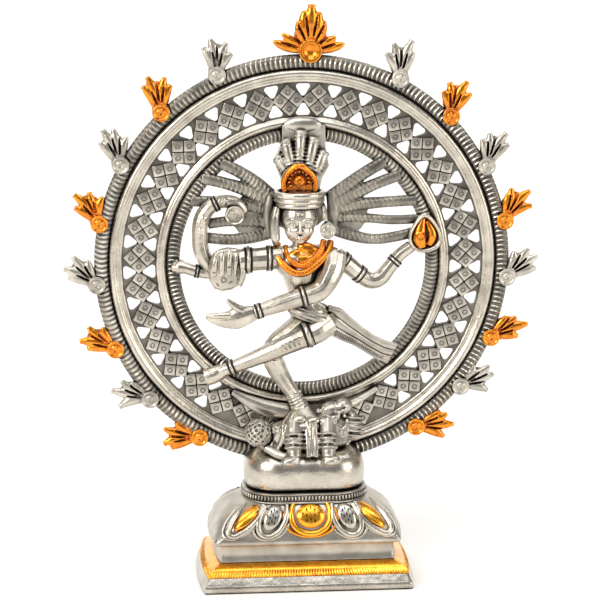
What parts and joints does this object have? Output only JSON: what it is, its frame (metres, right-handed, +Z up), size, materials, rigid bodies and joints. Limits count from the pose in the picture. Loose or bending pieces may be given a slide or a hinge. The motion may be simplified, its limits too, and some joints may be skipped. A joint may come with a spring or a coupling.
{
  "type": "nataraja statue",
  "caption": "Silvered brass dancing figure in a pierced ring edged with flames, on a dwarf, a cushion and a lotus plinth, with gilt lacquer accents.",
  "frame": {"origin": "middle of the plinth's underside, where it rests", "axes": "+Z up, the figure faces -Y, +X towards the viewer's right when looking at its face"},
  "size_m": [0.1656, 0.046, 0.2026],
  "materials": {
    "antique_silver": "silver plated and oxidised, polished on the high spots",
    "gilt_lacquer": "transparent orange-gold lacquer over polished metal",
    "steel": "zinc plated fixing"
  },
  "bodies": {
    "root": {"bangles": "antique_silver", "bar_braze": "antique_silver", "blessing_arm": "antique_silver", "blessing_hand": "antique_silver", "crown_feathers": "antique_silver", "crown_ornament": "gilt_lacquer", "cup_flame": "gilt_lacquer", "cushion_seat": "antique_silver", "drum": "antique_silver", "drum_arm": "antique_silver", "dwarf_body": "antique_silver", "dwarf_head": "antique_silver", "ear_drops": "antique_silver", "fixing_nut": "steel", "fixing_stud": "steel", "fixing_washer": "steel", "flame_arm": "antique_silver", "flame_cup": "antique_silver", "flame_left_1": "antique_silver", "flame_left_2": "gilt_lacquer", "flame_left_3": "antique_silver", "flame_left_4": "gilt_lacquer", "flame_left_5": "antique_silver", "flame_left_6": "gilt_lacquer", "flame_left_7": "antique_silver", "flame_left_8": "gilt_lacquer", "flame_right_1": "antique_silver", "flame_right_2": "gilt_lacquer", "flame_right_3": "antique_silver", "flame_right_4": "gilt_lacquer", "flame_right_5": "antique_silver", "flame_right_6": "gilt_lacquer", "flame_right_7": "antique_silver", "flame_right_8": "gilt_lacquer", "flame_top": "gilt_lacquer", "hair_locks_left": "antique_silver", "hair_locks_right": "antique_silver", "hand_bar": "antique_silver", "head": "antique_silver", "headband": "antique_silver", "lotus_block": "antique_silver", "lotus_petals_gilt": "gilt_lacquer", "lotus_petals_silver": "antique_silver", "milled_collar": "antique_silver", "necklace": "gilt_lacquer", "plinth_foot": "antique_silver", "plinth_gilt_band": "gilt_lacquer", "plinth_neck": "antique_silver", "pointing_arm": "antique_silver", "pointing_hand": "antique_silver", "raised_leg": "antique_silver", "ring_inner_moulding": "antique_silver", "ring_inner_rope": "antique_silver", "ring_lattice": "antique_silver", "ring_outer_moulding": "antique_silver", "ring_outer_rope": "antique_silver", "sash": "antique_silver", "standing_leg": "antique_silver", "torso": "antique_silver", "waist_belt": "antique_silver"}
  },
  "joints": []
}
